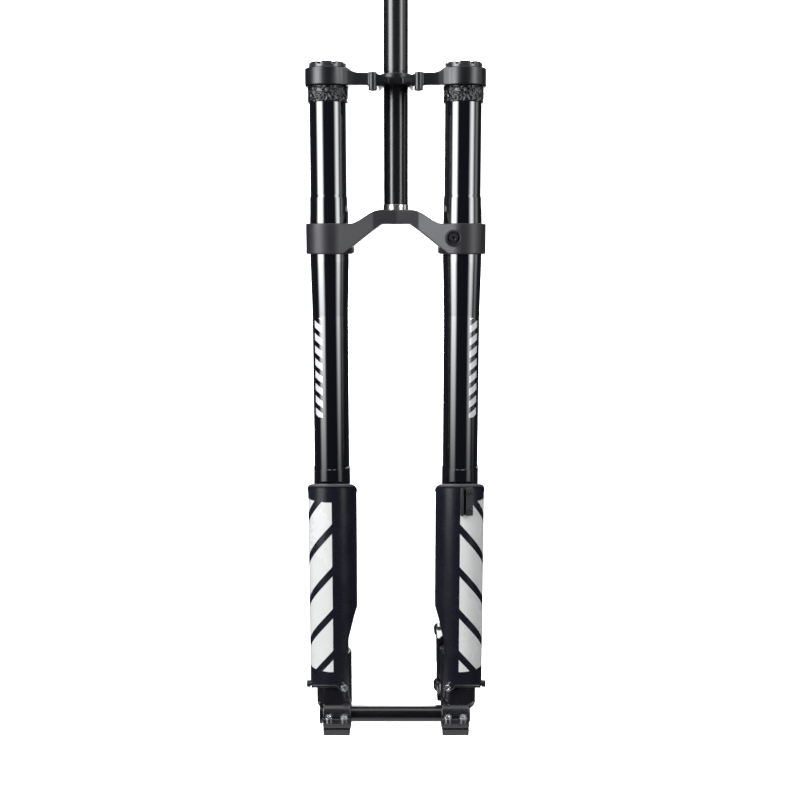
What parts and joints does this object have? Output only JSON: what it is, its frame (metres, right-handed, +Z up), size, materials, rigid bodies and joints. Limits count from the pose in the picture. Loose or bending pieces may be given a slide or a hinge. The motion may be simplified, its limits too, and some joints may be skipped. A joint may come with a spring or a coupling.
{
  "type": "suspension fork",
  "caption": "Inverted dual-crown downhill suspension fork: glossy outer tubes in two crowns, sliding inner legs behind front guards, brake posts and a through axle.",
  "frame": {"origin": "on the steerer axis, level with the crown race seat on top of the lower crown", "axes": "+Z up the steerer, -Y towards the front of the bicycle, +X towards the rider's left, the brake side"},
  "size_m": [0.2196, 0.1085, 0.8804],
  "materials": {
    "steerer_finish": "satin black anodised, with a bare bright race seat",
    "crown_finish": "bead-blasted black anodised",
    "tube_finish": "high-gloss black",
    "cap_finish": "satin black anodised",
    "foot_finish": "semi-gloss black",
    "axle_finish": "satin black anodised",
    "leg_finish": "polished hard anodised",
    "bare_aluminium": "machined",
    "bolt_steel": "zinc plated",
    "black_steel": "black oxide",
    "rod_steel": "ground and plated",
    "brass_parts": "machined",
    "bush_bronze": "lined bushing",
    "guard_plastic": "glossy moulded",
    "clip_plastic": "moulded",
    "bumper_rubber": "rough textured",
    "seal_rubber": "smooth",
    "wiper_rubber": "smooth",
    "elastomer": "smooth",
    "valve_cap_plastic": "moulded",
    "dial_red": "red anodised",
    "dial_blue": "blue anodised"
  },
  "bodies": {
    "chassis": {"steerer_tube": "steerer_finish", "lower_crown": "crown_finish", "lower_crown_bolts": "bolt_steel", "hose_guide_screw": "black_steel", "outer_tube_left": "tube_finish", "outer_tube_right": "tube_finish", "frame_bumper_left": "bumper_rubber", "frame_bumper_right": "bumper_rubber", "upper_bushing_left": "bush_bronze", "upper_bushing_right": "bush_bronze", "lower_bushing_left": "bush_bronze", "lower_bushing_right": "bush_bronze", "oil_seal_left": "seal_rubber", "oil_seal_right": "seal_rubber", "seal_clip_left": "bolt_steel", "seal_clip_right": "bolt_steel", "dust_wiper_left": "wiper_rubber", "dust_wiper_right": "wiper_rubber", "air_top_cap": "cap_finish", "air_valve": "brass_parts", "air_rod": "rod_steel", "air_piston": "bare_aluminium", "air_piston_seal": "wiper_rubber", "bottom_out_bumper": "elastomer", "damper_top_cap": "cap_finish", "damper_tube": "bare_aluminium", "compression_valve": "bare_aluminium", "damper_seal_head": "bare_aluminium"},
    "top_crown": {"upper_crown": "crown_finish", "upper_crown_bolts": "bolt_steel"},
    "valve_cap": {"valve_cap": "valve_cap_plastic"},
    "low_speed_dial": {"low_speed_dial": "dial_blue"},
    "high_speed_dial": {"high_speed_dial": "dial_red"},
    "lowers": {"inner_leg_left": "leg_finish", "inner_leg_right": "leg_finish", "leg_plug_left": "bare_aluminium", "leg_plug_right": "bare_aluminium", "foot_left": "foot_finish", "foot_right": "foot_finish", "axle_pinch_bolts": "bolt_steel", "leg_guard_left": "guard_plastic", "leg_guard_right": "guard_plastic", "guard_bolts": "bolt_steel", "hose_clip": "clip_plastic", "hose_clip_screws": "black_steel", "air_seal_head": "bare_aluminium", "air_top_out_bumper": "elastomer", "damper_rod": "rod_steel", "damper_piston": "bare_aluminium", "damper_piston_ring": "wiper_rubber", "rebound_bumper": "elastomer"},
    "axle": {"axle": "axle_finish"},
    "rebound_adjuster": {"rebound_knob": "dial_red", "rebound_rod": "bare_aluminium"}
  },
  "joints": [
    {"name": "fork_travel", "type": "slide", "parent": "chassis", "child": "lowers", "axis": [0, 0, 1], "range_m": [0, 0.203], "stiffness_N_per_m": 7000, "springref_m": -0.012},
    {"name": "upper_crown_lift", "type": "slide", "parent": "chassis", "child": "top_crown", "axis": [0, 0, 1], "range_m": [0, 0.3]},
    {"name": "axle_draw", "type": "slide", "parent": "lowers", "child": "axle", "axis": [-1, 0, 0], "range_m": [0, 0.27]},
    {"name": "valve_cap_lift", "type": "slide", "parent": "chassis", "child": "valve_cap", "axis": [0, 0, 1], "range_m": [0, 0.02]},
    {"name": "low_speed_turn", "type": "hinge", "parent": "chassis", "child": "low_speed_dial", "pos_m": [-0.076, -0.04, 0.155], "axis": [0, 0, 1], "range_deg": [-330, 0]},
    {"name": "high_speed_turn", "type": "hinge", "parent": "chassis", "child": "high_speed_dial", "pos_m": [-0.076, -0.04, 0.155], "axis": [0, 0, 1], "range_deg": [-150, 0]},
    {"name": "rebound_turn", "type": "hinge", "parent": "lowers", "child": "rebound_adjuster", "pos_m": [-0.076, -0.04, -0.62], "axis": [0, 0, -1], "range_deg": [-330, 0]}
  ]
}
